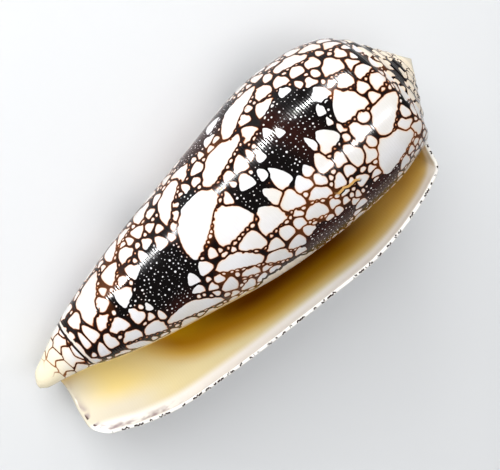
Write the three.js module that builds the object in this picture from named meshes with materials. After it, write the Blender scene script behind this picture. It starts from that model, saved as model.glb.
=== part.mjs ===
// A cone shell lying on its back with the mouth up: one closed surface, in millimetres, +Z up.
//
// The surface is a whorl section swept round the shell's axis. A turn angle says how old the shell
// is: 0 at the edge of the outer lip, -360 one whorl earlier, and so on back to the apex. A point
// of a section has a radius from the axis and a depth below the apex along it. Each section has a
// top, from the suture over the ramp to the shoulder, and a side, from there down to the base.
// The suture of each whorl runs just below the shoulder of the whorl before it, so the two share
// their points there. Behind the lip a hollow winds in between the last whorl and the one before.
import * as THREE from 'three';

// Driving dimensions
const LENGTH = 110;
const SHOULDER_DEPTH = 9.6; // of the last whorl, one turn before the lip
const SHOULDER_DROP = 2.2; // further down at the lip
const DROP_SPAN = 300; // degrees over which the shoulder goes down
const SPIRE_GROWTH = 1.36; // size of a spire whorl over the one before
const BODY_GROWTH = 1.46; // the same on the side, inside the mouth
const WHORLS = 6; // with a top that shows; older ones are one worn tip
const SUTURE_DROP = 0.45; // of a suture below the last shoulder
const RAMP_SAG = 0.12; // how hollow a ramp is
const RAMP_SHARE = 0.6; // of a top, before it bends over the shoulder
const RAMP_END = 0.8; // how near that bend starts to the shoulder
const SHOULDER_IN = 0.12; // of the shoulder's corner from the side
const SHOULDER_UP = 0.18; // of the same corner
const FLARE_POWER = 1.6; // how late in the last half turn the lip flares out
const LEAN = 0.045; // slope of the spire's whorls towards the lip
const LEAN_TOP = 25; // depth down to which it leans in full
const LEAN_FADE = 60; // further depth over which the lean fades out
const LIP_NOTCH = 7; // degrees that the lip is cut back near the shoulder
const LIP_BOW = 6; // degrees that it bows forward below
const BOW_PLACE = 0.7; // under 1 puts the bow's middle above the side's
const NOTCH_PLACE = 0.7; // how far round the notch's curve the shoulder lies
const NOTCH_FADE = 0.1; // share of the side over which the notch ends
const EDGE_SPAN = 70; // degrees behind the lip that its curve reaches
const BASE_RISE = 1.7; // of the base's edge at the back, above the tip
const CANAL_RISE = 1.3; // further up in the canal's notch
const CANAL_TURN = -72; // middle of that notch
const CANAL_SPAN = 45; // degrees from its middle to its end
const CORNER_RISE = 3.8; // of the base's edge at the lip's rounded corner
const CORNER_SPAN = 20; // degrees that the corner takes
const TIP_BULGE = 0.15; // of the tip below its edge
const EDGE_WALL = 0.85; // wall at the lip
const INNER_WALL = 1.8; // wall deep inside
const WALL_REACH = 60; // degrees from the lip until the wall has its full thickness
const BODY_HOLLOW = 330; // degrees that the hollow reaches in behind the lip
const TIP_HOLLOW = 150; // the same at the base
const HOLLOW_RISE = 45; // depth from the base over which one reach becomes the other
const HOLLOW_CLOSES = 0.7; // share of its length after which it narrows to nothing
const ROLL = 30; // of the resting shell, lip side up, from mouth straight up
const PITCH = 7.7; // of its axis, apex up
const REST_FLAT = 0.35; // depth of the worn flat that it rests on

// Outlines as [depth, radius]: the back of the last whorl half a turn before the lip, the side one
// turn before the lip, which is also the mouth's inner edge, and the lip itself
const BACK = [
  [8, 13.6], [10.5, 15.7], [12.5, 17], [15.5, 18.3], [20, 19.5], [30, 20.4], [38, 19.7],
  [47, 18.1], [60, 16], [79, 12.7], [96, 8.3], [105.5, 4.3], [108.6, 2.8], [110, 0.8],
];
const COLUMELLA = [
  [8, 14.6], [9.6, 15.6], [12.5, 16.7], [16, 17.6], [20.3, 18.4], [30, 18.8], [41.8, 18.3],
  [55, 16.7], [71.3, 12.9], [84, 9.7], [93, 6.7], [98, 4.5], [104, 2.7], [108.6, 1.6], [110, 0.6],
];
const LIP = [
  [8, 20.8], [11.6, 22.3], [14.4, 23.4], [19.7, 25.3], [29, 27.5], [37.4, 28.4], [50, 27.9],
  [65, 27], [76, 26.1], [89, 24.5], [98, 21.8], [102, 19.9], [105, 18.6], [108, 17.3], [110, 16.2],
];

// Mesh counts
const TURN = 360;
const COLUMNS = 48; // round one turn
const TOP_ROWS = 4;
const SIDE_ROWS = 22;
const ROWS = TOP_ROWS + SIDE_ROWS;
const HOLLOW_COLUMNS = TIP_HOLLOW / (TURN / COLUMNS);
const ROW_BUNCHING = 0.72; // how much closer the side's rows lie at its two ends

const clamp = (x) => Math.min(Math.max(x, 0), 1);
const mix = (a, b, t) => a + (b - a) * t;

function smooth(x) {
  const t = clamp(x);
  return t * t * (3 - 2 * t);
}

// A smooth curve through an outline's points, as a function of depth
function curveThrough(points) {
  const last = points.length - 1;
  const slopes = points.map((_, i) => {
    const before = points[Math.max(i - 1, 0)];
    const after = points[Math.min(i + 1, last)];
    return (after[1] - before[1]) / (after[0] - before[0]);
  });
  return (depth) => {
    const x = Math.min(Math.max(depth, points[0][0]), points[last][0]);
    let i = 0;
    while (i < last - 1 && x > points[i + 1][0]) i += 1;
    const gap = points[i + 1][0] - points[i][0];
    const t = (x - points[i][0]) / gap;
    const end = t * t * (3 - 2 * t);
    const rise = t * (1 - t) * gap;
    return (
      mix(points[i][1], points[i + 1][1], end) + rise * ((1 - t) * slopes[i] - t * slopes[i + 1])
    );
  };
}

const backRadius = curveThrough(BACK);
const columellaRadius = curveThrough(COLUMELLA);
const lipRadius = curveThrough(LIP);

// Size of a whorl's top against the last whorl's
const sizeAt = (turn) => SPIRE_GROWTH ** (Math.min(turn + TURN, 0) / TURN);

// Radius of the side at a turn angle and depth
function sideRadius(turn, depth) {
  const inner = columellaRadius(depth);
  const back = backRadius(depth);
  const flare = clamp((turn + 180) / 180) ** FLARE_POWER;
  const outer = mix(inner, back, smooth((turn + TURN) / 180)) + (lipRadius(depth) - back) * flare;
  return outer * BODY_GROWTH ** (Math.min(turn + TURN, 0) / TURN);
}

function shoulder(turn) {
  const size = sizeAt(turn);
  const lastTurn = Math.max(turn, -TURN);
  const depth = SHOULDER_DEPTH + SHOULDER_DROP * smooth((lastTurn + TURN) / DROP_SPAN);
  return { radius: sideRadius(lastTurn, depth) * size, depth: depth * size };
}

// Where the next whorl's suture joins this one
function join(turn) {
  const size = sizeAt(turn);
  const lastTurn = Math.max(turn, -TURN);
  const depth = shoulder(turn).depth / size + SUTURE_DROP;
  return { radius: sideRadius(lastTurn, depth) * size, depth: depth * size };
}

// Depth of the base's edge: the tip, the canal behind it and the rounded corner of the lip
function endDepth(turn) {
  const rise = BASE_RISE * smooth((turn + 180) / 80);
  const fromCanal = clamp(Math.abs(turn - CANAL_TURN) / CANAL_SPAN);
  const canal = CANAL_RISE * Math.cos((fromCanal * Math.PI) / 2) ** 2;
  return LENGTH - rise - canal - CORNER_RISE * clamp(1 + turn / CORNER_SPAN) ** 2;
}

// The top of a section, along from 0 at the suture to 1 where the side starts: a slightly hollow
// ramp and then a quadratic round over the shoulder
function topPoint(turn, along) {
  const size = sizeAt(turn);
  const start = join(turn - TURN);
  const end = join(turn);
  const corner = shoulder(turn);
  corner.radius -= SHOULDER_IN * size;
  corner.depth -= SHOULDER_UP * size;
  const bend = {
    radius: mix(start.radius, corner.radius, RAMP_END),
    depth: mix(start.depth, corner.depth, RAMP_END) - RAMP_SAG * size,
  };
  const sweep = -LIP_NOTCH * Math.sin(Math.PI * NOTCH_PLACE * along);
  if (along < RAMP_SHARE) {
    const t = along / RAMP_SHARE;
    const sag = RAMP_SAG * size * Math.sin(Math.PI * t);
    return {
      radius: mix(start.radius, bend.radius, t),
      depth: mix(start.depth, bend.depth, t) + sag,
      sweep,
    };
  }
  const t = (along - RAMP_SHARE) / (1 - RAMP_SHARE);
  const round = (key) => mix(mix(bend[key], corner[key], t), mix(corner[key], end[key], t), t);
  return { radius: round('radius'), depth: round('depth'), sweep };
}

// The side of a section, along from 0 below the shoulder to 1 at the base's edge
function sidePoint(turn, along) {
  const spread = along - (ROW_BUNCHING * Math.sin(2 * Math.PI * along)) / (2 * Math.PI);
  const depth = mix(join(turn).depth, endDepth(turn), spread);
  const notch = LIP_NOTCH * Math.sin(Math.PI * NOTCH_PLACE) * (1 - smooth(along / NOTCH_FADE));
  const sweep = LIP_BOW * Math.sin(Math.PI * along ** BOW_PLACE) - notch;
  return { radius: sideRadius(turn, depth), depth, sweep };
}

const sectionPoint = (turn, row) =>
  row < TOP_ROWS
    ? topPoint(turn, row / TOP_ROWS)
    : sidePoint(turn, (row - TOP_ROWS) / SIDE_ROWS);

// The shell's own frame: X towards the lip, -Y towards whoever looks into the mouth, apex at the
// top of Z. The last turn is swept forward and back to give the lip its curved edge.
function place(turn, { radius, depth, sweep }) {
  const angle = THREE.MathUtils.degToRad(turn + sweep * smooth((turn + EDGE_SPAN) / EDGE_SPAN));
  const x = radius * Math.cos(angle);
  const lean = LEAN * x * (1 - smooth((depth - LEAN_TOP) / LEAN_FADE));
  return new THREE.Vector3(x, -radius * Math.sin(angle), lean - depth);
}

// How far in degrees the hollow reaches at a row of the side
function hollowReach(row) {
  const { depth } = sidePoint(-TURN, Math.max(row - TOP_ROWS, 0) / SIDE_ROWS);
  return mix(TIP_HOLLOW, BODY_HOLLOW, smooth((LENGTH - depth) / HOLLOW_RISE));
}

// Points and triangles of the one closed surface
const points = [];
const triangles = [];

const addPoint = (point) => points.push(point) - 1;

function addTriangle(a, b, c) {
  triangles.push([a, b, c]);
}

// Faces between the rows and columns of a grid of point numbers
function addGrid(grid, reversed) {
  for (let column = 0; column + 1 < grid.length; column += 1) {
    for (let row = 0; row + 1 < grid[column].length; row += 1) {
      const [a, d] = [grid[column][row], grid[column][row + 1]];
      const [b, c] = [grid[column + 1][row], grid[column + 1][row + 1]];
      if (reversed) {
        addTriangle(a, c, b);
        addTriangle(a, d, c);
      } else {
        addTriangle(a, b, c);
        addTriangle(a, c, d);
      }
    }
  }
}

// Faces from each step of a loop to one point
function addFan(loop, centre) {
  loop.forEach((number, i) => addTriangle(number, loop[(i + 1) % loop.length], centre));
}

// Faces between two lines of points that start together and end together
function addBridge(left, right) {
  const gap = (a, b) => points[a].distanceTo(points[b]);
  let [i, j] = [0, 0];
  while (i + 1 < left.length || j + 1 < right.length) {
    const rightDone = j + 1 === right.length;
    const leftDone = i + 1 === left.length;
    if (rightDone || (!leftDone && gap(left[i + 1], right[j]) < gap(left[i], right[j + 1]))) {
      addTriangle(left[i], right[j], left[i + 1]);
      i += 1;
    } else {
      addTriangle(left[i], right[j], right[j + 1]);
      j += 1;
    }
  }
}

const range = (count) => [...Array(count).keys()];

// Ramps and shoulders, from the oldest whorl to the lip. The first row of each turn is the last
// row of the turn before.
const topColumns = WHORLS * COLUMNS;
const topGrid = [];
for (let column = 0; column <= topColumns; column += 1) {
  const turn = (column - topColumns) * (TURN / COLUMNS);
  topGrid.push(
    range(TOP_ROWS + 1).map((row) =>
      row === 0 && column >= COLUMNS
        ? topGrid[column - COLUMNS][TOP_ROWS]
        : addPoint(place(turn, topPoint(turn, row / TOP_ROWS))),
    ),
  );
}
addGrid(topGrid, false);

// The worn tip of the spire
const firstTurn = range(COLUMNS - 1).map((column) => topGrid[column + 1][0]);
addFan([...firstTurn.reverse(), ...topGrid[0]], addPoint(new THREE.Vector3(0, 0, 0)));

// The side of the last whorl
const sideGrid = range(COLUMNS + 1).map((column) => {
  const turn = column * (TURN / COLUMNS) - TURN;
  return range(SIDE_ROWS + 1).map((row) =>
    row === 0
      ? topGrid[topColumns - COLUMNS + column][TOP_ROWS]
      : addPoint(place(turn, sidePoint(turn, row / SIDE_ROWS))),
  );
});
addGrid(sideGrid, false);

// The hollow's floor carries that side on inwards from the mouth. Its first row is one below the
// suture, which leaves the last whorl's ramp its thickness.
const floorPoint = (column, row) => {
  const reach = hollowReach(row + TOP_ROWS);
  const turn = -TURN - (reach * column) / HOLLOW_COLUMNS;
  return { turn, ...sidePoint(turn, row / SIDE_ROWS) };
};
const floorGrid = range(HOLLOW_COLUMNS + 1).map((column) =>
  range(SIDE_ROWS).map((step) => {
    const at = floorPoint(column, step + 1);
    return column === 0 ? sideGrid[0][step + 1] : addPoint(place(at.turn, at));
  }),
);
addGrid(floorGrid, true);

// The hollow's wall is the last whorl moved in by its thickness, and deep inside it closes on the
// floor
function wallPoint(column, row) {
  const turn = (-hollowReach(row) * column) / HOLLOW_COLUMNS;
  const at = sectionPoint(turn, row);
  const before = sectionPoint(turn, Math.max(row - 1, 0));
  const after = sectionPoint(turn, Math.min(row + 1, ROWS));
  const length = Math.hypot(after.radius - before.radius, after.depth - before.depth);
  const wall = mix(EDGE_WALL, INNER_WALL, smooth(-turn / WALL_REACH));
  const floorRow = mix(1, SIDE_ROWS, row / ROWS);
  const lower = Math.min(Math.floor(floorRow), SIDE_ROWS - 1);
  const [a, b] = [floorPoint(column, lower), floorPoint(column, lower + 1)];
  const closed = smooth((column / HOLLOW_COLUMNS - HOLLOW_CLOSES) / (1 - HOLLOW_CLOSES));
  const towards = (key, inward) =>
    mix(at[key] + inward * wall, mix(a[key], b[key], floorRow - lower), closed);
  return {
    turn,
    radius: towards('radius', (before.depth - after.depth) / length),
    depth: towards('depth', (after.radius - before.radius) / length),
    sweep: at.sweep,
  };
}
const wallGrid = range(HOLLOW_COLUMNS).map((column) =>
  range(ROWS + 1).map((row) => {
    if (row === 0) return floorGrid[column][0];
    const at = wallPoint(column, row);
    return addPoint(place(at.turn, at));
  }),
);
addGrid(wallGrid, false);
addBridge(wallGrid[HOLLOW_COLUMNS - 1], floorGrid[HOLLOW_COLUMNS]);

// The edge of the lip, from the suture down to the base
const lipOutside = [...topGrid[topColumns], ...sideGrid[COLUMNS].slice(1)];
const lipEdge = lipOutside.map((number, row) => [number, wallGrid[0][row]]);
addGrid(lipEdge, true);

// The edge of the base, from the lip round behind the tip
const baseEdge = range(HOLLOW_COLUMNS).map((column) => [
  sideGrid[COLUMNS - column][SIDE_ROWS],
  wallGrid[column][ROWS],
]);
const tipMeetsWall = sideGrid[COLUMNS - HOLLOW_COLUMNS][SIDE_ROWS];
baseEdge.push([tipMeetsWall, floorGrid[HOLLOW_COLUMNS][SIDE_ROWS - 1]]);
addGrid(baseEdge, true);

// The tip
const tipLoop = [
  ...floorGrid.slice(1).reverse().map((column) => column[SIDE_ROWS - 1]),
  ...sideGrid.slice(0, COLUMNS - HOLLOW_COLUMNS + 1).map((column) => column[SIDE_ROWS]),
];
const tip = new THREE.Vector3();
tipLoop.forEach((number) => tip.addScaledVector(points[number], 1 / tipLoop.length));
tip.z = -LENGTH - TIP_BULGE;
addFan(tipLoop, addPoint(tip));

// Laid down to rest: the apex towards +X, the mouth up, the lip towards -Y
const apexWay = new THREE.Vector3(0, 0, 1);
const roll = THREE.MathUtils.degToRad(ROLL);
const mouthWay = new THREE.Vector3(0, -1, 0).applyAxisAngle(apexWay, roll);
const pitch = THREE.MathUtils.degToRad(PITCH);
const zAxis = mouthWay.multiplyScalar(Math.cos(pitch)).addScaledVector(apexWay, Math.sin(pitch));
const yAxis = new THREE.Vector3().crossVectors(zAxis, apexWay).normalize();
const xAxis = new THREE.Vector3().crossVectors(yAxis, zAxis);
const lying = new THREE.Matrix4().makeBasis(xAxis, yAxis, zAxis).transpose();
points.forEach((point) => point.applyMatrix4(lying));

// Down onto the flat, and the origin under the middle
const box = new THREE.Box3().setFromPoints(points);
const middle = box.getCenter(new THREE.Vector3());
points.forEach((point) => {
  point.x -= middle.x;
  point.y -= middle.y;
  point.z = Math.max(point.z - box.min.z - REST_FLAT, 0);
});

const geometry = new THREE.BufferGeometry().setFromPoints(points);
geometry.setIndex(triangles.flat());
geometry.computeVertexNormals();
const shellSurface = new THREE.MeshStandardMaterial({ color: 0xe9ddc4, roughness: 0.3, metalness: 0 });
const shell = new THREE.Mesh(geometry, shellSurface);
shell.name = 'shell';

const part = new THREE.Group();
part.add(shell);

export default part;
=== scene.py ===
# A cone shell lying on its back with the mouth up: a fine mesh of its surface, its marks and glaze.
import math

import bpy
import numpy as np
from mathutils import Matrix, Vector


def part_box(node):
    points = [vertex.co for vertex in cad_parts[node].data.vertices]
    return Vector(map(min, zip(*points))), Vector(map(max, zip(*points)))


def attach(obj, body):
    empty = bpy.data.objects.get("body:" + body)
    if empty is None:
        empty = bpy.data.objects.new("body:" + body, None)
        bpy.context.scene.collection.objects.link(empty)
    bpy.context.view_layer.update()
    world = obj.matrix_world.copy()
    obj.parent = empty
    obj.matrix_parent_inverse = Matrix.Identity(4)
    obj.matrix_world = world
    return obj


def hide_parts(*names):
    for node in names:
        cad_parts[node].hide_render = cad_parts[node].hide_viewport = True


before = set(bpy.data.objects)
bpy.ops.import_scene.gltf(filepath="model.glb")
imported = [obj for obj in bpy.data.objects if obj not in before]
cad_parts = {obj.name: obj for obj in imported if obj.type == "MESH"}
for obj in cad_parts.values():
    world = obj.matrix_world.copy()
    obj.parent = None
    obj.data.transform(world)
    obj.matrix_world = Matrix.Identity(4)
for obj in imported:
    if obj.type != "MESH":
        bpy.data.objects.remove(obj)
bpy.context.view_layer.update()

# The shell's surface, in mm and degrees, with the frame's own dimensions. A whorl section is swept
# round the axis. A turn angle is 0 at the edge of the lip and -360 one whorl earlier; depth is
# measured down from the apex along the axis.
MM = 0.001
TURN = 360
LENGTH = 110
SHOULDER_DEPTH = 9.6
SHOULDER_DROP = 2.2
DROP_SPAN = 300
SPIRE_GROWTH = 1.36
BODY_GROWTH = 1.46
WHORLS = 6
SUTURE_DROP = 0.45
RAMP_SAG = 0.12
RAMP_SHARE = 0.6
RAMP_END = 0.8
SHOULDER_IN = 0.12
SHOULDER_UP = 0.18
FLARE_POWER = 1.6
LEAN = 0.045
LEAN_TOP = 25
LEAN_FADE = 60
LIP_NOTCH = 7
LIP_BOW = 6
BOW_PLACE = 0.7
NOTCH_PLACE = 0.7
NOTCH_FADE = 0.1
EDGE_SPAN = 70
BASE_RISE = 1.7
CANAL_RISE = 1.3
CANAL_TURN = -72
CANAL_SPAN = 45
CORNER_RISE = 3.8
CORNER_SPAN = 20
TIP_BULGE = 0.15
EDGE_WALL = 0.85
INNER_WALL = 1.8
WALL_REACH = 60
BODY_HOLLOW = 330
TIP_HOLLOW = 150
HOLLOW_RISE = 45
HOLLOW_CLOSES = 0.7
ROLL = 30
PITCH = 7.7
REST_FLAT = 0.35

# Outlines as [depth, radius], as in the frame
BACK = [
    [8, 13.6], [10.5, 15.7], [12.5, 17], [15.5, 18.3], [20, 19.5], [30, 20.4], [38, 19.7],
    [47, 18.1], [60, 16], [79, 12.7], [96, 8.3], [105.5, 4.3], [108.6, 2.8], [110, 0.8],
]
COLUMELLA = [
    [8, 14.6], [9.6, 15.6], [12.5, 16.7], [16, 17.6], [20.3, 18.4], [30, 18.8], [41.8, 18.3],
    [55, 16.7], [71.3, 12.9], [84, 9.7], [93, 6.7], [98, 4.5], [104, 2.7], [108.6, 1.6], [110, 0.6],
]
LIP = [
    [8, 20.8], [11.6, 22.3], [14.4, 23.4], [19.7, 25.3], [29, 27.5], [37.4, 28.4], [50, 27.9],
    [65, 27], [76, 26.1], [89, 24.5], [98, 21.8], [102, 19.9], [105, 18.6], [108, 17.3], [110, 16.2],
]

# The groove along the upper edge of the fasciole, the band of old canal scars near the base
FASCIOLE_DEPTH = 97.4
FASCIOLE_CUT = 0.28
FASCIOLE_HALF = 0.45  # half width

MARGIN = 3.5  # width of the stained margin inside the base's edge
THREAD = 0.58  # from one fine spiral thread to the next
THREAD_HEIGHT = 0.03

# Mesh counts
CORNERS = [(0, 0), (1, 0), (1, 1), (0, 1)]  # of a face, as steps of column and row
COLUMNS = 240  # round one turn
TOP_ROWS = 14
SIDE_ROWS = 110
ROWS = TOP_ROWS + SIDE_ROWS
EDGE_ROWS = 5  # across the rounded edge of lip and base
HOLLOW_COLUMNS = TIP_HOLLOW * COLUMNS // TURN
ROW_BUNCHING = 0.72
EDGE_BULGE = 0.45  # of that edge, in its own thickness

# Marks. The white tents point the way the shell grows, each a pointed arch on its side.
NEAREST = 6  # marks that each face knows
FAR = 9.0
NO_MARK = (FAR, FAR, 1)
ARCH = 1.5  # how far past the middle line each side's arc has its centre
BLUNT = 0.12  # how blunt an arch's tip is
SOFT_BASE = 0.7  # how softly an arch's sides turn into its base
ROUND_UNDER = 0.35  # half size of the largest mark that is quite round
ROUND_FADE = 0.35  # further half size over which marks turn into pointed arches
REACH = 1.2  # how far a mark reaches from its middle, in its larger half size
FIELD_MARGIN = 2.5  # how far round a mark a field knows its distance
FACE_MARGIN = 1.6  # how far round a mark the faces know it
RAMP_SLOPE = 0.93  # how much nearer the axis a place is, for its distance up a ramp
LAST_WHORL_SEED = 11
SPIRE_SEED = 5
WAVES = 9  # sine waves in the noise that sizes the marks
WAVE_RADIUS = 17  # radius at which that noise is as long as it is wide
DOT_TURN = 3.3  # degrees between the columns of dots in the dark patches
DOT_DROP = 0.85  # and mm between their rows
SCALLOPED = 2  # half width of the smallest tent with a scalloped base
SCALLOP = 1.3  # width of its base for each small mark
# Half sizes of random marks, in the order that they are tried
LARGE_FILL = [2.2, 1.8, 1.5, 1.25, 1.05, 0.9]
SMALL_FILL = [0.9, 0.75, 0.6, 0.5, 0.42]
SPIRE_FILL = [3.4, 2.8, 2.3, 1.8, 1.3, 0.9, 0.6]
# Turn angle, apart from whole turns, of the dark blotches that cross the spire's whorls
SPIRE_BLOTCH = 262
# The largest marks, as [turn, depth, length along the growth, width, slant in degrees]
TENTS = [
    # below the shoulder
    [-215, 12.3, 3.5, 4.2, 15], [-229, 12.3, 3.9, 2.5, -15], [-243, 12.8, 3.4, 3.4, 20],
    [-252, 12, 3.7, 4.1, 15], [-265, 10.9, 4.1, 4.4, 10], [-262, 14.6, 3.2, 2.7, 0],
    [-252, 16.2, 4.1, 4.1, -15], [-237, 15.6, 5.1, 5.8, -5], [-225, 18.1, 4.5, 3.6, -15],
    [-235, 19.5, 2.8, 2.1, -5], [-208, 15.6, 4.3, 5.4, -25], [-264, 19.4, 7.4, 7.8, -5],
    [-211, 21.1, 5, 8.9, -15], [-287, 15.2, 6.3, 10.4, 35], [-297, 11.2, 4, 2.1, 0],
    [-304, 13.2, 4.2, 3.3, 25], [-317, 11.2, 4.1, 3.1, 30], [-310, 18.4, 9, 11.7, 15],
    [-294, 21.1, 3.1, 2.6, -10], [-277, 18.8, 3.5, 3, 0], [-282, 21.6, 4.8, 3.9, 15],
    [-292, 25.5, 6.2, 3.8, 10], [-299, 22.9, 4.3, 3.4, -10],
    # beside the upper band
    [-224, 21.7, 3.7, 3.7, -10], [-238, 21.5, 2.7, 2.9, -10], [-249, 22.1, 4.2, 4.4, -5],
    [-223, 25.8, 4, 4.1, -15], [-231, 26.9, 3.1, 3, 0], [-211, 26.7, 3.6, 3.1, 0],
    [-219, 30, 5.1, 4.6, 0], [-230, 32.4, 3.5, 5.5, 20], [-256, 24.1, 3.9, 2, -20],
    [-266, 24.7, 2.1, 1.4, -15], [-273, 27.8, 5.3, 5.6, 10], [-269, 30.6, 3.8, 2, 10],
    [-274, 23.8, 2.6, 2, 0], [-280, 24.6, 2.1, 2.3, -20], [-288, 28.4, 3.5, 2.6, -15],
    [-298, 28.5, 2.9, 2.6, 0], [-299, 31.3, 3.6, 2.8, -25], [-282, 31.6, 4.8, 3.5, -5],
    [-214, 37.4, 6, 15.1, 25], [-221, 34.9, 3, 2.2, 0], [-225, 37, 3.6, 3.6, -20],
    [-236, 38.6, 3.7, 4.4, 5], [-245, 35.6, 2.3, 2.3, -5], [-251, 33.7, 2.4, 2.1, 0],
    [-280, 35, 2.8, 2.6, -10], [-290, 34.4, 3.7, 2.7, 0], [-284, 37.6, 3.9, 3.8, -10],
    [-297, 36, 3.7, 5.2, -30], [-306, 39.1, 4.4, 5.4, -25], [-310, 35.3, 2.8, 2.3, 0],
    # the middle
    [-233, 47.2, 5.9, 14.8, 15], [-201, 42.9, 4, 5, 20], [-212, 45.6, 2.9, 3.7, 15],
    [-253, 40.1, 3.2, 2.4, 0], [-248, 41.3, 2.6, 1.8, 0], [-271, 40.3, 5.9, 3.8, 10],
    [-263, 42.3, 2.9, 2.7, 5], [-277, 43.9, 4.7, 3.2, 20], [-259, 45.8, 3.7, 3.9, -15],
    [-247, 47.8, 2.6, 2.6, 0], [-248, 51.5, 3, 2.4, 0], [-288, 41.6, 5.2, 5.5, -20],
    [-298, 42.3, 2.4, 2.3, -20], [-305, 43.5, 3.2, 3.1, 0], [-288, 47.4, 6.4, 7.1, 5],
    [-304, 46.8, 4.2, 3.5, 10], [-308, 50.1, 3.2, 4, -35], [-294, 53.2, 4.9, 6.2, -30],
    [-253, 59.2, 8.2, 17.2, 30], [-271, 54.3, 8.3, 9.7, 5], [-221, 60.9, 5, 12.5, 40],
    [-212, 55.4, 5.3, 5, 45], [-197, 58.3, 3.5, 3.2, 10], [-230, 60.5, 3.2, 2.3, 0],
    [-239, 61.7, 3.1, 2.6, 5], [-244, 63.4, 2.2, 2, 0], [-301, 57.8, 4.7, 11.2, -30],
    [-316, 57.7, 3.2, 4.1, -30], [-316, 62.8, 4.3, 3.8, -30], [-282, 61.1, 2.3, 2.1, -15],
    [-319, 51.1, 4.2, 7, -40], [-319, 46.3, 3.9, 4.3, -30], [-330, 59.8, 3.9, 3.4, -30],
    [-329, 47, 3, 2.8, -15],
    # beside the lower band
    [-202, 67.6, 5.2, 6.3, 35], [-215, 65.8, 3.2, 2.6, 15], [-227, 67.8, 2.7, 2.4, 20],
    [-246, 68, 3.4, 2.9, 0], [-219, 70.6, 4, 3.3, 35], [-236, 70.5, 2.8, 2.6, 10],
    [-219, 73.1, 3, 1.9, 10], [-242, 72.8, 2.5, 2.2, 0], [-202, 74, 3.5, 5.3, 10],
    [-226, 75.6, 4.1, 4.5, 5], [-245, 76.7, 3.9, 3.3, 25], [-203, 77.9, 4.7, 6.6, 45],
    [-287, 64.5, 3.4, 3.4, 0], [-289, 68, 3.1, 2.8, -15], [-301, 68.5, 2.3, 2.9, -35],
    [-307, 65.8, 2.4, 2.1, -25], [-318, 72.1, 5.1, 13.7, -15],
    # the base
    [-227, 81.2, 4.6, 5.2, 40], [-257, 81.8, 4.3, 4.8, 30], [-282, 82.3, 4.4, 3.1, 10],
    [-284, 79.1, 2.4, 1.7, -10], [-295, 80.2, 2.9, 1.9, -15], [-301, 78.3, 3.1, 1.7, -10],
    [-311, 81, 5.1, 5.7, -25], [-235, 84.6, 2.3, 1.7, 20], [-243, 86.8, 4.4, 3.3, 15],
    [-279, 86.6, 3.8, 4.8, -20], [-302, 86, 4.2, 4.8, -15], [-222, 88.6, 6.5, 12.4, 50],
    [-259, 89.2, 4, 4.2, 25], [-288, 90.4, 4.8, 3, -10], [-328, 87, 3.6, 8.6, -35],
    [-326, 89.9, 3.6, 4.9, -15], [-259, 92.7, 4.9, 2.7, 10], [-261, 94.7, 4.3, 1.7, -5],
    [-229, 93.7, 3.8, 4, 45], [-296, 93, 4.3, 2.7, -15],
    # below the groove
    [-262, 99.7, 6.4, 2.5, 0], [-226, 99.6, 3.6, 2.6, 10], [-303, 99.8, 4, 2.4, -10],
    [-270, 102.6, 5, 2.6, 5], [-236, 102.6, 3.2, 2.6, 0], [-304, 102.7, 3.4, 2.2, 0],
    [-251, 104.9, 3, 1.9, 10], [-290, 105, 3, 1.9, -10],
]
# Dark patches, nearly all in two bands, as [turn, depth, half turn, half depth]
PATCHES = [
    [-255, 29.6, 22, 9], [-264, 36.1, 16, 6], [-334, 25.2, 14, 5.2], [-333, 39.5, 13, 6],
    [-201, 45.2, 12, 9], [-269, 46.4, 13, 4], [-276, 72.1, 30, 7.5], [-239, 57.8, 8, 3],
    [-264, 82.9, 14, 2.5],
    [-160, 27, 14, 6], [-142, 34, 16, 5], [-100, 30, 18, 6], [-84, 37, 14, 6], [-38, 26, 12, 6],
    [-27, 33, 9, 5], [-165, 70, 24, 4], [-118, 72, 16, 7], [-60, 69, 18, 5], [-46, 75, 16, 5],
    [-15, 48, 8, 4], [-130, 52, 12, 3], [-238, 9.3, 15, 1.2], [-292, 9.2, 7, 1.3],
]


def mix(a, b, t):
    return a + (b - a) * t


def smooth(x):
    t = np.clip(x, 0, 1)
    return t * t * (3 - 2 * t)


def curve_through(outline):
    """A smooth curve through an outline's points: radius as a function of depth."""
    depth, radius = np.array(outline, float).T
    place = np.arange(len(depth))
    before = np.maximum(place - 1, 0)
    after = np.minimum(place + 1, len(depth) - 1)
    slope = (radius[after] - radius[before]) / (depth[after] - depth[before])

    def at(x):
        x = np.clip(x, depth[0], depth[-1])
        i = np.clip(np.searchsorted(depth, x, side="right") - 1, 0, len(depth) - 2)
        gap = depth[i + 1] - depth[i]
        t = (x - depth[i]) / gap
        rise = t * (1 - t) * gap
        bend = rise * ((1 - t) * slope[i] - t * slope[i + 1])
        return mix(radius[i], radius[i + 1], t * t * (3 - 2 * t)) + bend

    return at


back_radius = curve_through(BACK)
columella_radius = curve_through(COLUMELLA)
lip_radius = curve_through(LIP)


def size_at(turn):
    return SPIRE_GROWTH ** (np.minimum(turn + TURN, 0) / TURN)


def side_radius(turn, depth):
    inner = columella_radius(depth)
    back = back_radius(depth)
    flare = np.clip((turn + 180) / 180, 0, 1) ** FLARE_POWER
    outer = mix(inner, back, smooth((turn + TURN) / 180)) + (lip_radius(depth) - back) * flare
    return outer * BODY_GROWTH ** (np.minimum(turn + TURN, 0) / TURN)


def below_shoulder(turn, drop):
    """(radius, depth) of the point that lies drop below a whorl's shoulder."""
    last_turn = np.maximum(turn, -TURN)
    depth = SHOULDER_DEPTH + SHOULDER_DROP * smooth((last_turn + TURN) / DROP_SPAN) + drop
    return np.stack([side_radius(last_turn, depth), depth]) * size_at(turn)


def join(turn):
    """Where the next whorl's suture joins this one."""
    return below_shoulder(turn, SUTURE_DROP)


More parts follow.
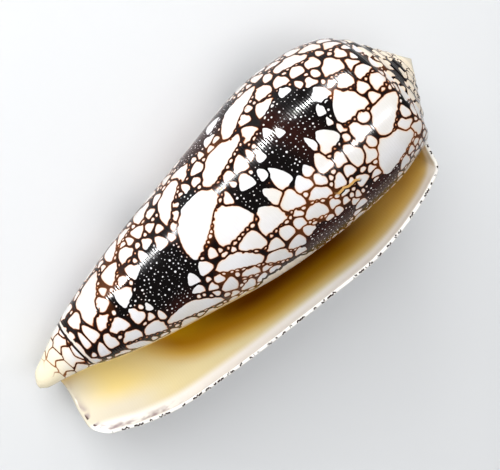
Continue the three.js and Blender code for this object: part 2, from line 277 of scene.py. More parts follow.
def end_depth(turn):
    rise = BASE_RISE * smooth((turn + 180) / 80)
    from_canal = np.clip(np.abs(turn - CANAL_TURN) / CANAL_SPAN, 0, 1)
    canal = CANAL_RISE * np.cos(from_canal * np.pi / 2) ** 2
    return LENGTH - rise - canal - CORNER_RISE * np.clip(1 + turn / CORNER_SPAN, 0, 1) ** 2


def top_point(turn, along):
    """(radius, depth, sweep) from the suture, over the ramp, to just below the shoulder."""
    size = size_at(turn)
    start, end = join(turn - TURN), join(turn)
    corner = below_shoulder(turn, 0) - np.stack([SHOULDER_IN * size, SHOULDER_UP * size])
    sag = np.stack([0 * size, RAMP_SAG * size])
    bend = mix(start, corner, RAMP_END) - sag
    t = np.clip(along / RAMP_SHARE, 0, 1)
    ramp = mix(start, bend, t) + sag * np.sin(np.pi * t)
    t = np.clip((along - RAMP_SHARE) / (1 - RAMP_SHARE), 0, 1)
    bent = mix(mix(bend, corner, t), mix(corner, end, t), t)
    radius, depth = np.where(along < RAMP_SHARE, ramp, bent)
    return radius, depth, -LIP_NOTCH * np.sin(np.pi * NOTCH_PLACE * along) + 0 * radius


def side_point(turn, along):
    """(radius, depth, sweep) from there down to the base's edge."""
    spread = along - ROW_BUNCHING * np.sin(2 * np.pi * along) / (2 * np.pi)
    depth = mix(join(turn)[1], end_depth(turn), spread)
    notch = LIP_NOTCH * np.sin(np.pi * NOTCH_PLACE) * (1 - smooth(along / NOTCH_FADE))
    sweep = LIP_BOW * np.sin(np.pi * along**BOW_PLACE) - notch
    return side_radius(turn, depth), depth, sweep + 0 * depth


def place(turn, radius, depth, sweep):
    """Points in the shell's own frame: X towards the lip, apex at the top of Z."""
    angle = np.radians(turn + sweep * smooth((turn + EDGE_SPAN) / EDGE_SPAN))
    x = radius * np.cos(angle)
    lean = LEAN * x * (1 - smooth((depth - LEAN_TOP) / LEAN_FADE))
    return np.stack([x, -radius * np.sin(angle), lean - depth], -1)


class Surface:
    """Points and faces, with what each corner of a face knows: where it grew and its marks."""

    def __init__(self):
        self.points = []
        self.count = 0
        self.faces = []
        self.grown = []
        self.marks = []

    def add(self, points):
        points = np.asarray(points, float)
        numbers = self.count + np.arange(points[..., 0].size).reshape(points.shape[:-1])
        self.points.append(points.reshape(-1, 3))
        self.count += numbers.size
        return numbers

    def at(self, numbers):
        return np.concatenate(self.points)[numbers]

    def grid(self, numbers, grown, reverse=False, marks=None):
        """Faces between a grid's columns and rows. grown holds (turn, down, cover)."""
        order = CORNERS[::-1] if reverse else CORNERS
        columns, rows = numbers.shape[0] - 1, numbers.shape[1] - 1
        parts = [(slice(a, a + columns), slice(b, b + rows)) for a, b in order]
        self.faces.append(np.stack([numbers[part].ravel() for part in parts], 1))
        self.grown.append(np.stack([grown[part].reshape(-1, 3) for part in parts], 1))
        if marks is None:
            marks = np.full((columns * rows, 4, NEAREST, 3), NO_MARK, float)
        self.marks.append(marks)

    def triangles(self, corners, grown):
        """Plain faces with one grown value."""
        corners = np.asarray(corners, int)
        self.faces.append(corners)
        self.grown.append(np.broadcast_to(np.array(grown, float), corners.shape + (3,)))
        self.marks.append(np.full(corners.shape + (NEAREST, 3), NO_MARK, float))

    def fan(self, loop, centre, grown):
        loop = np.asarray(loop)
        after = np.roll(loop, -1)
        self.triangles(np.stack([loop, after, np.full(len(loop), centre)], 1), grown)


def bridge(left, right, left_points, right_points):
    """Triangles between two lines of points that start together and end together."""
    corners = []
    i = j = 0
    while i + 1 < len(left) or j + 1 < len(right):
        right_done = j + 1 == len(right)
        left_done = i + 1 == len(left)
        step_left = right_done
        if not right_done and not left_done:
            over_left = np.linalg.norm(left_points[i + 1] - right_points[j])
            step_left = over_left < np.linalg.norm(left_points[i] - right_points[j + 1])
        if step_left:
            corners.append((left[i], right[j], left[i + 1]))
            i += 1
        else:
            corners.append((left[i], right[j], right[j + 1]))
            j += 1
    return corners


# Where marks lie. A mark is [turn, down, half length, half width, slant], where down is the depth on
# the side and counts on up the ramp from the shoulder. Sizes are those of the last whorl, and a
# spire whorl's marks are drawn at its own size.
class Field:
    """A map of part of the surface that knows how far each point is from the marks so far."""

    def __init__(self, turns, downs, radius):
        self.turns = turns
        self.downs = downs
        self.radius = radius
        self.clear = np.full(radius.shape, FAR)
        self.marks = []

    def window(self, turn, down, reach):
        c, d = np.searchsorted(self.downs, [down - reach, down + reach])
        column = min(np.searchsorted(self.turns, turn), len(self.turns) - 1)
        wide = math.degrees(reach / self.radius[column, c:d].min())
        a, b = np.searchsorted(self.turns, [turn - wide, turn + wide])
        return slice(a, b), slice(c, d)

    def radius_near(self, turn, down):
        a = min(np.searchsorted(self.turns, turn), len(self.turns) - 1)
        b = min(np.searchsorted(self.downs, down), len(self.downs) - 1)
        return self.radius[a, b]

    def add(self, mark):
        turn, down, half_length, half_width, slant = mark
        window = self.window(turn, down, max(half_length, half_width) * REACH + FIELD_MARGIN)
        across = np.radians(self.turns[window[0]] - turn)[:, None] * self.radius[window]
        local = localised(across, (self.downs[window[1]] - down)[None, :], mark)
        self.clear[window] = np.minimum(self.clear[window], gauge(*local))
        self.marks.append(mark)

    def fill(self, draw, half_sizes, limit, gap, tries, stretch=1.05):
        """Adds marks at random wherever there is room, the largest first."""
        for half in half_sizes:
            columns = draw.integers(0, len(self.turns), tries)
            rows = draw.integers(0, len(self.downs), tries)
            allowed = limit[columns, rows] >= half
            fits = allowed & (self.clear[columns, rows] > half + gap[columns, rows])
            for a, b in zip(columns[fits], rows[fits]):
                if self.clear[a, b] > half + gap[a, b]:
                    longer = draw.uniform(0.82, 1.2) * stretch
                    slant = draw.normal(-4, 14)
                    self.add((self.turns[a], self.downs[b], half * longer, half / longer, slant))


def localised(across, down, mark):
    """A place relative to a mark, in the mark's own half length and half width, and its size."""
    half_length, half_width, slant = mark[2:]
    c, s = np.cos(np.radians(slant)), np.sin(np.radians(slant))
    x = (c * across + s * down) / half_length
    y = (c * down - s * across) / half_width
    return x, y, np.sqrt(half_length * half_width)


def gauge(x, y, size):
    """Distance outside a mark that is 2 long and 2 wide, times its size: an arch, or a round."""
    side = np.hypot(x + 1, np.hypot(y, BLUNT) + ARCH) - ARCH - 1
    pointed = np.maximum(side, -x - 1)
    return mix(np.hypot(x, y) - 1, pointed, smooth((size - ROUND_UNDER) / ROUND_FADE)) * size


def scallop(field, draw, mark):
    """Small round marks along a tent's base, which cut into it."""
    turn, down, half_length, half_width, slant = mark
    c, s = math.cos(math.radians(slant)), math.sin(math.radians(slant))
    count = int(2 * half_width / SCALLOP)
    for step in range(count):
        y = (step + draw.uniform(0.2, 0.8)) / count * 2 * half_width - half_width
        x = -half_length - draw.uniform(0, 0.35)
        across, along = c * x - s * y, s * x + c * y
        half = draw.uniform(0.3, 0.5)
        at = turn + math.degrees(across / field.radius_near(turn, down))
        field.add((at, down + along, half, half * draw.uniform(0.8, 1.3), 0))


def waves(draw, turns, downs, wavelength):
    """Smooth noise over a field, about -1 to 1."""
    total = 0
    for _ in range(WAVES):
        angle = draw.uniform(0, 2 * math.pi)
        rate = 2 * math.pi / (wavelength * draw.uniform(0.7, 1.6))
        across = np.radians(turns)[:, None] * WAVE_RADIUS * math.cos(angle)
        along = across + downs[None, :] * math.sin(angle)
        total = total + np.sin(rate * along + draw.uniform(0, 7))
    return total / math.sqrt(WAVES)


def darkness(turn, down):
    """1 inside a dark patch, 0 well outside, with a ragged edge between."""
    dark = 0
    ragged = 0.14 * np.sin(0.23 * turn + 0.5 * down) + 0.12 * np.sin(0.95 * down - 0.13 * turn)
    for at_turn, depth, half_turn, half_depth in PATCHES:
        away = np.hypot((turn - at_turn) / half_turn, (down - depth) / half_depth) + ragged
        dark = np.maximum(dark, smooth((1.25 - away) / 0.35))
    return dark


def add_dots(field, draw, dark):
    """Small round dots in loose rows, wherever the field is dark."""
    for column in np.arange(-TURN, 0, DOT_TURN):
        for row in np.arange(12, LENGTH - 12, DOT_DROP):
            turn, down = column + draw.normal(0, 0.6), row + draw.normal(0, 0.22)
            a, b = np.searchsorted(field.turns, turn), np.searchsorted(field.downs, down)
            if dark[a, b] > 0.6 and field.clear[a, b] > 0.35:
                half = 0.09 + 0.17 * draw.random() ** 2 + 0.25 * (1 - dark[a, b])
                field.add((turn, down, half, half, 0))


def last_whorl_marks():
    """Marks of the last whorl: tents, dots, and a filling that is small in the dark patches."""
    draw = np.random.default_rng(LAST_WHORL_SEED)
    turns = np.arange(-TURN - 4, 5, 0.5)
    downs = np.arange(6, LENGTH, 0.2)
    last_turns = np.maximum(turns, -TURN)[:, None]
    start_depth = join(last_turns)[1]
    radius = side_radius(last_turns, np.maximum(downs, start_depth))
    radius = radius - RAMP_SLOPE * np.maximum(start_depth - downs, 0)
    field = Field(turns, downs, radius)
    for turn, depth, length, width, slant in TENTS:
        field.add((turn, depth, length / 2, width / 2, slant))
    dark = darkness(turns[:, None], downs[None, :])
    add_dots(field, draw, dark)
    near_base = smooth((downs - 92) / 6)[None, :]
    limit = 1.9 + 1.3 * waves(draw, turns, downs, 12)
    limit = mix(np.maximum(limit, 1.0), 2.2, near_base)
    limit = mix(limit, 0.12, np.minimum(dark * 1.4, 1))
    gap = mix(mix(0.16, 0.7, near_base), 0.45, dark)
    field.fill(draw, LARGE_FILL, limit, gap, 30000)
    for mark in list(field.marks):
        if mark[3] > SCALLOPED:
            scallop(field, draw, mark)
    field.fill(draw, SMALL_FILL, limit, gap, 9000)
    return field.marks


def spire_marks():
    """Marks of the older whorls, whose depths here are counted up from each whorl's own join."""
    draw = np.random.default_rng(SPIRE_SEED)
    turns = np.arange(-WHORLS * TURN, -TURN - 3, 1.0)
    downs = np.arange(-4.6, 0.2, 0.1)
    size = size_at(turns[:, None])
    radius = join(turns[:, None])[0] / size + RAMP_SLOPE * downs[None, :]
    field = Field(turns, downs, radius)
    blotch = (np.cos(np.radians(turns + SPIRE_BLOTCH)) - 0.86)[:, None] / 0.1
    dark = smooth(waves(draw, turns, downs, 12) * 2.5 + np.maximum(blotch, -1) * 1.5 - 0.8)
    limit = mix(2.3 / size**0.6, 0.5, dark)
    field.fill(draw, SPIRE_FILL, limit, mix(0.15, 0.6, dark), 9000, 0.95)
    marks = []
    for turn, down, *shape in field.marks:
        marks.append((turn, join(np.array(turn))[1] + down * size_at(turn), *shape))
    return marks


def at_middles(values):
    """A grid's values at the middles of its faces."""
    return (values[:-1, :-1] + values[1:, :-1] + values[1:, 1:] + values[:-1, 1:]) / 4


def nearest_marks(marks, turns, downs, radius):
    """The marks nearest to each face of a grid, as they look from its four corners."""
    turns = turns + 0 * radius
    turn_mid, down_mid, radius_mid = at_middles(turns), at_middles(downs), at_middles(radius)
    distance = np.full((NEAREST,) + turn_mid.shape, np.inf)
    number = np.full((NEAREST,) + turn_mid.shape, len(marks))
    column_turn = turn_mid[:, -1]
    for index, mark in enumerate(marks):
        turn, down = mark[:2]
        size = size_at(turn)
        reach = (max(mark[2:4]) * REACH + FACE_MARGIN) * size
        at = min(np.searchsorted(column_turn, turn), len(column_turn) - 1)
        c, d = np.searchsorted(down_mid[at], [down - reach - 1, down + reach + 1])
        if c == d:
            continue
        wide = math.degrees(reach / radius_mid[at, c:d].min())
        a, b = np.searchsorted(column_turn, [turn - wide, turn + wide])
        window = (slice(a, b), slice(c, d))
        across = np.radians(turn_mid[window] - turn) * radius_mid[window] / size
        away = gauge(*localised(across, (down_mid[window] - down) / size, mark))
        mine = np.full(away.shape, index)
        for rank in range(NEAREST):
            best, best_number = distance[rank][window], number[rank][window]
            closer = away < best
            further = np.where(closer, best, away)
            further_number = np.where(closer, best_number, mine)
            distance[rank][window] = np.where(closer, away, best)
            number[rank][window] = np.where(closer, mine, best_number)
            away, mine = further, further_number
    return corner_views(marks, number, turns, downs, radius)


def corner_views(marks, number, turns, downs, radius):
    """Each corner's place relative to its face's nearest marks; a number past the last is none."""
    table = np.array(list(marks) + [(0, 0, 1, 1, 0)], float)
    columns, rows = turns.shape[0] - 1, turns.shape[1] - 1
    views = np.empty((columns * rows, 4, NEAREST, 3))
    for rank in range(NEAREST):
        mark = np.moveaxis(table[number[rank]], -1, 0)
        size = size_at(mark[0])
        for corner, (a, b) in enumerate(CORNERS):
            part = (slice(a, a + columns), slice(b, b + rows))
            across = np.radians(turns[part] - mark[0]) * radius[part] / size
            view = np.stack(localised(across, (downs[part] - mark[1]) / size, mark), -1)
            view[number[rank] == len(marks)] = NO_MARK
            views[:, corner, rank] = view.reshape(-1, 3)
    return views


def grown_values(turn, down, cover):
    return np.stack(np.broadcast_arrays(turn, down, cover), -1).astype(float)


# The grids that the surface is made of. Side rows run from just below the shoulder to the base's
# edge, and hollow columns from the opening inwards.
SIDE_ALONG = (np.arange(SIDE_ROWS + 1) / SIDE_ROWS)[None, :]
INWARDS = (np.arange(HOLLOW_COLUMNS + 1) / HOLLOW_COLUMNS)[:, None]
ACROSS_EDGE = (np.arange(EDGE_ROWS + 1) / EDGE_ROWS)[None, :]


def add_top(surface, marks, older):
    """Ramps and shoulders, from the oldest whorl to the lip. Returns point numbers and downs."""
    columns = WHORLS * COLUMNS
    last_whorl = columns - COLUMNS
    turn = ((np.arange(columns + 1) - columns) * (TURN / COLUMNS))[:, None]
    along = (np.arange(TOP_ROWS + 1) / TOP_ROWS)[None, :]
    radius, depth, sweep = top_point(turn, along)
    points = place(turn, radius, depth, sweep)
    top = np.empty(radius.shape, int)
    top[:COLUMNS] = surface.add(points[:COLUMNS])
    top[COLUMNS:, 1:] = surface.add(points[COLUMNS:, 1:])
    top[COLUMNS:, 0] = top[: last_whorl + 1, TOP_ROWS]
    steps = np.hypot(np.diff(radius, axis=1), np.diff(depth, axis=1))
    left_to_go = np.cumsum(steps[:, ::-1], axis=1)[:, ::-1]
    down = depth[:, -1:] - np.concatenate([left_to_go, 0 * turn], axis=1)
    views = []
    for known, part in ((older + marks, slice(last_whorl + 1)), (marks, slice(last_whorl, None))):
        views.append(nearest_marks(known, turn[part], down[part], radius[part]))
    surface.grid(top, grown_values(turn, down, 0), marks=np.concatenate(views))
    worn_tip = surface.add([[0, 0, 0]])[0]
    loop = list(top[1:COLUMNS, 0][::-1]) + list(top[0])
    surface.fan(loop, worn_tip, (-WHORLS * TURN, 0, 0))
    return top, down


def add_side(surface, marks, shoulder_points):
    """The side of the last whorl, with the groove cut along it."""
    turn = (np.arange(COLUMNS + 1) * (TURN / COLUMNS) - TURN)[:, None]
    radius, depth, sweep = side_point(turn, SIDE_ALONG)
    groove = np.exp(-(((depth - FASCIOLE_DEPTH) / FASCIOLE_HALF) ** 2)) * smooth((turn + TURN) / 30)
    radius = radius - FASCIOLE_CUT * groove * smooth(-(turn + 160) / 30)
    side = np.empty(radius.shape, int)
    side[:, 0] = shoulder_points
    side[:, 1:] = surface.add(place(turn, radius, depth, sweep)[:, 1:])
    cover = 1.0 * (turn <= -TURN) + 0 * radius
    views = nearest_marks(marks, turn, depth, radius)
    surface.grid(side, grown_values(turn, depth, cover), marks=views)
    return side


def hollow_reach(along):
    """How far each row of the hollow winds in, in degrees: less near the tip than in the body."""
    depth = side_point(np.array([[-float(TURN)]]), along)[1]
    return mix(TIP_HOLLOW, BODY_HOLLOW, smooth((LENGTH - depth) / HOLLOW_RISE))


def add_hollow_floor(surface, side):
    """The hollow's floor, which is the older whorl's side. Returns point numbers and places."""
    turn = -TURN - hollow_reach(SIDE_ALONG) * INWARDS
    radius, depth, sweep = side_point(turn, SIDE_ALONG)
    points = place(turn, radius, depth, sweep)
    floor = np.empty(radius.shape, int)
    floor[0] = side[0]
    floor[1:, EDGE_ROWS:] = surface.add(points[1:, EDGE_ROWS:])
    grown = grown_values(turn, depth, 1)
    surface.grid(floor[:, EDGE_ROWS:], grown[:, EDGE_ROWS:], reverse=True)
    return floor, np.stack([radius, depth])


def stained(turn, depth):
    """How strongly the inside is stained, 0 to 1: most along the base's edge."""
    by_base = smooth(1 - (end_depth(turn) - depth) / MARGIN) * mix(1, 0.4, smooth((-turn - 20) / 25))
    by_lip = smooth((turn + 13) / 10) * smooth((depth - 84) / 8)
    return np.maximum(by_base, 0.7 * by_lip)


def add_hollow_wall(surface, floor, floor_places):
    """The hollow's wall, inside the whorl's outside by its thickness, closing onto the floor."""
    row = np.arange(ROWS + 1)
    on_top = (row < TOP_ROWS)[None, :]
    side_along = np.maximum(row - TOP_ROWS, 0)[None, :] / SIDE_ROWS
    turn = -hollow_reach(side_along) * INWARDS
    top_values = np.stack(top_point(turn, row[None, :] / TOP_ROWS * on_top))
    radius, depth, sweep = np.where(on_top, top_values, np.stack(side_point(turn, side_along)))
    radius_step = np.gradient(radius, axis=1)
    depth_step = np.gradient(depth, axis=1)
    length = np.hypot(radius_step, depth_step)
    wall = mix(EDGE_WALL, INNER_WALL, smooth(-turn / WALL_REACH))
    floor_row = mix(EDGE_ROWS, SIDE_ROWS, row / ROWS)
    lower = np.minimum(np.floor(floor_row).astype(int), SIDE_ROWS - 1)
    near_places = mix(floor_places[..., lower], floor_places[..., lower + 1], floor_row - lower)
    closed = smooth((INWARDS - HOLLOW_CLOSES) / (1 - HOLLOW_CLOSES))
    radius = mix(radius - depth_step / length * wall, near_places[0], closed)
    depth = mix(depth + radius_step / length * wall, near_places[1], closed)
    points = place(turn, radius, depth, sweep)
    inner = np.empty((HOLLOW_COLUMNS, ROWS + 1), int)
    inner[:, 0] = floor[:HOLLOW_COLUMNS, EDGE_ROWS]
    inner[:, 1:] = surface.add(points[:HOLLOW_COLUMNS, 1:])
    grown = grown_values(turn, depth, 1 + stained(turn, depth))
    surface.grid(inner, grown[:HOLLOW_COLUMNS])
    left, right = inner[-1], floor[-1, EDGE_ROWS:]
    corners = bridge(left, right, surface.at(left), surface.at(right))
    surface.triangles(corners, (-TURN, LENGTH / 2, 1))
    return inner


def lengths(vectors):
    return np.linalg.norm(vectors, axis=-1, keepdims=True)


def rounded(a, b, bulge):
    """Points between two lines of points, on an arch that stands out by bulge."""
    t = ACROSS_EDGE[:, 1:-1, None]
    return mix(a, b, 0.5 - 0.5 * np.cos(np.pi * t)) + bulge * np.sin(np.pi * t)


def add_lip_edge(surface, top, top_down, side, inner):
    """The rounded edge of the lip, from the whorl's outside to the hollow's wall."""
    outside = np.concatenate([top[-1], side[-1, 1:]])
    edge = np.empty((ROWS + 1, EDGE_ROWS + 1), int)
    edge[0] = side[0, : EDGE_ROWS + 1]
    edge[1:, 0] = outside[1:]
    edge[1:, -1] = inner[0, 1:]
    a, b = surface.at(outside[1:])[:, None], surface.at(inner[0, 1:])[:, None]
    forward = np.cross(b - a, np.gradient(surface.at(outside), axis=0)[1:, None])
    forward *= lengths(b - a) / lengths(forward)
    edge[1:, 1:-1] = surface.add(rounded(a, b, forward * EDGE_BULGE))
    down = np.concatenate([top_down[-1], side_point(np.zeros((1, 1)), SIDE_ALONG)[1][0, 1:]])
    grown = grown_values(0, down[:, None], ACROSS_EDGE * 0.98)
    surface.grid(edge, grown, reverse=True)
    return edge


def add_base_edge(surface, side, edge, floor, inner):
    """The rounded edge of the base, which thins out towards the tip."""
    base = np.empty((HOLLOW_COLUMNS + 1, EDGE_ROWS + 1), int)
    base[:, 0] = side[COLUMNS - np.arange(HOLLOW_COLUMNS + 1), SIDE_ROWS]
    base[0] = edge[-1]
    base[:HOLLOW_COLUMNS, -1] = inner[:, -1]
    base[-1, -1] = floor[-1, -1]
    a, b = surface.at(base[1:, 0])[:, None], surface.at(base[1:, -1])[:, None]
    bulge = lengths(b - a) * EDGE_BULGE * (1 - INWARDS[1:, :, None])
    base[1:, 1:-1] = surface.add(rounded(a, b, bulge * [0, 0, -1]))
    grown = grown_values(-TIP_HOLLOW * INWARDS, LENGTH - 2, 1 + 0 * ACROSS_EDGE)
    surface.grid(base, grown, reverse=True)
    return base


def add_tip(surface, floor, side, base):
    """A low cap over what is left open at the end of the axis."""
    loop = list(floor[:0:-1, SIDE_ROWS]) + list(side[: COLUMNS - HOLLOW_COLUMNS + 1, SIDE_ROWS])
    loop += list(base[-1, 1:-1])
    tip = surface.at(np.array(loop)).mean(0)
    tip[2] = -LENGTH - TIP_BULGE
    surface.fan(loop, surface.add([tip])[0], (-TURN / 2, LENGTH, 0))


def shell_surface():
    """The whole closed surface in the shell's own frame, in mm."""
    surface = Surface()
    marks = last_whorl_marks()
    top, top_down = add_top(surface, marks, spire_marks())
    side = add_side(surface, marks, top[-COLUMNS - 1 :, TOP_ROWS])
    floor, floor_places = add_hollow_floor(surface, side)
    inner = add_hollow_wall(surface, floor, floor_places)
    edge = add_lip_edge(surface, top, top_down, side, inner)
    base = add_base_edge(surface, side, edge, floor, inner)
    add_tip(surface, floor, side, base)
    return surface


def lying():
    """The turn from the shell's own frame to how it rests."""
    apex_way = Vector((0, 0, 1))
    mouth_way = Matrix.Rotation(math.radians(ROLL), 3, "Z") @ Vector((0, -1, 0))
    pitch = math.radians(PITCH)
    z_axis = mouth_way * math.cos(pitch) + apex_way * math.sin(pitch)
    y_axis = z_axis.cross(apex_way).normalized()
    return Matrix((y_axis.cross(z_axis), y_axis, z_axis))


def laid_down(points):
    """Points in metres in the frame, on the flat that the CAD node rests on, and the move in mm."""
    low, high = (np.array(corner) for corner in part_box("shell"))
    turned = points @ np.array(lying()).T
    middle = (turned.min(0) + turned.max(0)) / 2
    shift = np.array([-middle[0], -middle[1], -turned[:, 2].min() - REST_FLAT])
    turned += shift
    turned[:, 2] = np.maximum(turned[:, 2], 0)
    size = (high - low) / (turned.max(0) - turned.min(0)) / MM
    fit = min(1, *size) * MM
    return turned * fit, shift


class Nodes:
    """Short calls for a material's node tree."""

    def __init__(self, tree):
        self.tree = tree

    def put(self, socket, value):
        if isinstance(value, bpy.types.NodeSocket):
            self.tree.links.new(value, socket)
        elif value is not None:
            socket.default_value = value

    def node(self, kind, **settings):
        node = self.tree.nodes.new(kind)
        for name, value in settings.items():
            setattr(node, name, value)
        return node

    def math(self, operation, a, b=None, c=None):
        node = self.node("ShaderNodeMath", operation=operation)
        for socket, value in zip(node.inputs, (a, b, c)):
            self.put(socket, value)
        return node.outputs[0]

    def plus(self, a, b):
        return self.math("ADD", a, b)

    def minus(self, a, b):
        return self.math("SUBTRACT", a, b)

    def times(self, a, b):
        return self.math("MULTIPLY", a, b)

    def apart(self, a, b):
        return self.math("ABSOLUTE", self.minus(a, b))

    def length(self, a, b):
        return self.math("SQRT", self.plus(self.times(a, a), self.times(b, b)))

    def split(self, vector):
        node = self.node("ShaderNodeSeparateXYZ")
        self.put(node.inputs[0], vector)
        return node.outputs

    def attribute(self, name, output="Vector"):
        return self.node("ShaderNodeAttribute", attribute_name=name).outputs[output]

    def step(self, value, low, high, to_low=0.0, to_high=1.0):
        """A smooth step of value from low to high."""
        node = self.node("ShaderNodeMapRange", interpolation_type="SMOOTHSTEP")
        names = ("Value", "From Min", "From Max", "To Min", "To Max")
        for name, given in zip(names, (value, low, high, to_low, to_high)):
            self.put(node.inputs[name], given)
        return node.outputs["Result"]

    def blend(self, factor, a, b):
        node = self.node("ShaderNodeMix", data_type="RGBA")
        self.put(node.inputs[0], factor)
        self.put(node.inputs[6], a)
        self.put(node.inputs[7], b)
        return node.outputs[2]

    def noise(self, vector, scale, detail=2.0):
        node = self.node("ShaderNodeTexNoise")
        self.put(node.inputs["Vector"], vector)
        self.put(node.inputs["Scale"], scale)
        self.put(node.inputs["Detail"], detail)
        return node.outputs[0]


def linear(value):
    """One channel of a colour, from 0 to 255 as on a screen, to linear 0 to 1."""
    value /= 255
    return value / 12.92 if value < 0.0404 else ((value + 0.055) / 1.055) ** 2.4


def colour(red, green, blue):
    return (linear(red), linear(green), linear(blue), 1)


# Colours of the outside
WHITE = colour(222, 221, 224)
DULL_WHITE = colour(216, 212, 207)
LILAC_WHITE = colour(198, 198, 212)
SPIRE_WHITE = colour(228, 210, 180)
BASE_WHITE = colour(238, 226, 196)
RIM_GLOW = colour(232, 190, 142)
RIM_ORANGE = colour(198, 120, 52)
LINE_EDGE = colour(84, 34, 10)
LINE_BROWN = colour(30, 13, 7)
GROUND_BROWN = colour(13, 6, 5)
GOLDEN_BROWN = colour(146, 78, 26)
PATCH_BLACK = colour(7, 4, 4)
PATCH_RUSSET = colour(48, 15, 7)
BASE_BROWN = colour(150, 94, 46)
WORN_APEX = colour(238, 224, 198)
WORN_BASE = colour(236, 225, 196)
RIDGE_WHITE = colour(226, 216, 204)
GROOVE_BROWN = colour(34, 19, 14)
SCAR_PLAIN = colour(226, 218, 208)
SCAR_BROWN = colour(32, 14, 8)
# Painted shadow along the dark side of the short golden scar
SCAR_PAINTED_SHADOW = colour(34, 16, 8)
SCAR_CREAM = colour(228, 204, 158)
SCAR_GOLD = colour(212, 166, 98)

# Colours of the inside
LIP_WHITE = colour(254, 252, 249)
STRAW = colour(228, 216, 170)
PALE_STRAW = colour(222, 215, 196)
# GOLD to DEEP_BROWN_AND_SHADE darken inwards: partly the shell's own colour, partly painted shade
# deep in the slot
GOLD = colour(216, 178, 84)
BROWN_GOLD = colour(178, 126, 20)
DEEP_GOLD = colour(200, 154, 22)
DEEP_BROWN_AND_SHADE = colour(116, 62, 4)
TOP_GOLD = colour(240, 208, 120)
BASE_GOLD = colour(240, 220, 150)
STAIN_MAUVE = colour(160, 142, 146)
STAIN_DARK = colour(78, 50, 56)
CALLUS_CREAM = colour(238, 222, 176)
EDGE_WHITE = colour(236, 233, 228)
DASH_BROWN = colour(40, 24, 22)


def arch_group():
    """Node group: distance outside a mark, from a place relative to it."""
    tree = bpy.data.node_groups.new("arch", "ShaderNodeTree")
    tree.interface.new_socket("Place", in_out="INPUT", socket_type="NodeSocketVector")
    tree.interface.new_socket("Distance", in_out="OUTPUT", socket_type="NodeSocketFloat")
    n = Nodes(tree)
    source = n.node("NodeGroupInput")
    target = n.node("NodeGroupOutput")
    x, y, size = n.split(source.outputs[0])
    forward = n.plus(x, 1)
    side = n.length(forward, n.plus(n.length(y, BLUNT), ARCH))
    side = n.minus(side, ARCH + 1)
    pointed = n.math("SMOOTH_MAX", side, n.times(forward, -1), SOFT_BASE)
    round_one = n.minus(n.length(x, y), 1)
    arched = n.step(size, ROUND_UNDER, ROUND_UNDER + ROUND_FADE)
    shape = n.plus(round_one, n.times(arched, n.minus(pointed, round_one)))
    n.put(target.inputs[0], n.times(shape, size))
    return tree


def net_of_lines(n, position, turn, down, dark, golden):
    """How far a place is inside the brown net of lines, in mm, and negative on a white mark."""
    # The distance outside the nearest mark, and outside the one after it
    arch = arch_group()
    first = second = FAR
    for rank in range(NEAREST):
        group = n.node("ShaderNodeGroup", node_tree=arch)
        n.put(group.inputs[0], n.attribute(f"mark_{rank}"))
        distance = group.outputs[0]
        second = n.math("MINIMUM", second, n.math("MAXIMUM", first, distance))
        first = n.math("MINIMUM", first, distance)

    # Marks spread a little, most below the groove, where the lines are all that is left
    thicker = n.math("MAXIMUM", n.step(turn, -268, -232), n.step(down, 58, 72))
    thicker = n.times(thicker, n.step(down, 98, 95.5))
    thicker = n.times(thicker, n.step(dark, 0.7, 0.1, 0, 0.1))
    spread = n.minus(n.step(dark, 0.3, 0.9, 0.2, 0.02), thicker)
    spread = n.plus(spread, n.step(down, 96.5, 99))
    half_line = n.plus(n.step(down, 96.5, 99, 0.17, 0.1), n.step(turn, -362, -380, 0, 0.16))
    half_line = n.plus(half_line, n.times(thicker, 0.4))
    half_line = n.minus(half_line, n.times(golden, 0.07))
    between = n.plus(n.times(n.minus(first, second), 0.5), half_line)
    net = n.math("SMOOTH_MAX", n.minus(first, spread), between, 0.35)
    wobble = n.minus(n.noise(position, 1500, 3), 0.5)
    return n.plus(net, n.times(wobble, 0.16))


def white_marks(n, position, turn, down, dark, net):
    """White marks with an orange rim, creamier on the spire and near the base."""
    white = n.blend(n.step(n.noise(position, 90), 0.35, 0.7), WHITE, DULL_WHITE)
    white = n.blend(n.step(n.noise(position, 75, 1), 0.66, 0.74), white, LILAC_WHITE)
    glow = n.times(n.step(net, -0.5, -0.1), n.times(n.step(dark, 0.9, 0.2), 0.32))
    white = n.blend(glow, white, RIM_GLOW)
    rim = n.times(n.step(net, -0.13, -0.03), n.step(dark, 0.95, 0.4))
    white = n.blend(rim, white, RIM_ORANGE)
    white = n.blend(n.times(n.step(turn, -362, -400), 0.6), white, SPIRE_WHITE)
    return n.blend(n.step(down, 97, 106), white, BASE_WHITE)


def brown_ground(n, position, turn, down, dark, net, golden):
    """The brown between the marks: golden in places, black and russet in the dark patches."""
    brown = n.blend(n.step(net, -0.02, 0.1), LINE_EDGE, LINE_BROWN)
    ground = n.blend(n.step(net, 0.1, 0.4), brown, GROUND_BROWN)
    ground = n.blend(n.times(golden, 0.32), ground, GOLDEN_BROWN)
    russet = n.step(n.noise(position, 45, 1), 0.46, 0.64)
    russet = n.math("MAXIMUM", russet, n.step(turn, -314, -326))
    ground = n.blend(dark, ground, n.blend(russet, PATCH_BLACK, PATCH_RUSSET))
    return n.blend(n.step(down, 100.5, 105), ground, BASE_BROWN)


